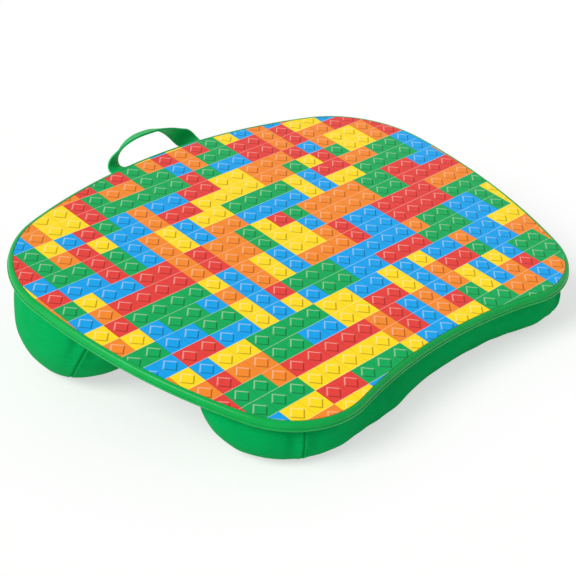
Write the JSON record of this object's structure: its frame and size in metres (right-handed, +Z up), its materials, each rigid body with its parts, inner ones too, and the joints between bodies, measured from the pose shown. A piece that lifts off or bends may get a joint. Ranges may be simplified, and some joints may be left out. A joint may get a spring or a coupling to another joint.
{
  "type": "lap tray with cushion",
  "caption": "Lap tray: curved edge-banded board on a low front bolster and a tall back bolster that tilt it towards the user, with a webbing carry loop behind.",
  "frame": {"origin": "floor, under the middle of the whole tray's footprint", "axes": "+X along the tray's width to the user's right, +Y away from the user to the carry handle, +Z up"},
  "size_m": [0.4444, 0.3684, 0.1152],
  "materials": {
    "print": "gloss printed laminate",
    "board": "fibreboard",
    "backing": "matt balancing sheet",
    "edge_band": "gloss",
    "cover_cloth": "woven polyester",
    "webbing": "woven webbing",
    "staple": "bright",
    "filling": "loose beads"
  },
  "bodies": {
    "tray": {"print_laminate": "print", "tray_core": "board", "backing_sheet": "backing", "edge_band": "edge_band", "top_cloth": "cover_cloth", "handle_left_tail": "webbing", "handle_right_tail": "webbing", "cover_staples": "staple", "handle_staples": "staple", "back_bolster_inner_panel": "cover_cloth", "back_bolster_outer_panel": "cover_cloth", "back_bolster_base_panel": "cover_cloth", "back_bolster_filling": "filling", "front_bolster_front_panel": "cover_cloth", "front_bolster_inner_panel": "cover_cloth", "front_bolster_base_panel": "cover_cloth", "front_bolster_filling": "filling"},
    "handle": {"handle_loop": "webbing"}
  },
  "joints": [
    {"name": "handle_swing", "type": "hinge", "parent": "tray", "child": "handle", "pos_m": [0, 0.16215, 0.09362], "axis": [1, 0, 0], "range_deg": [-90, 62]}
  ]
}
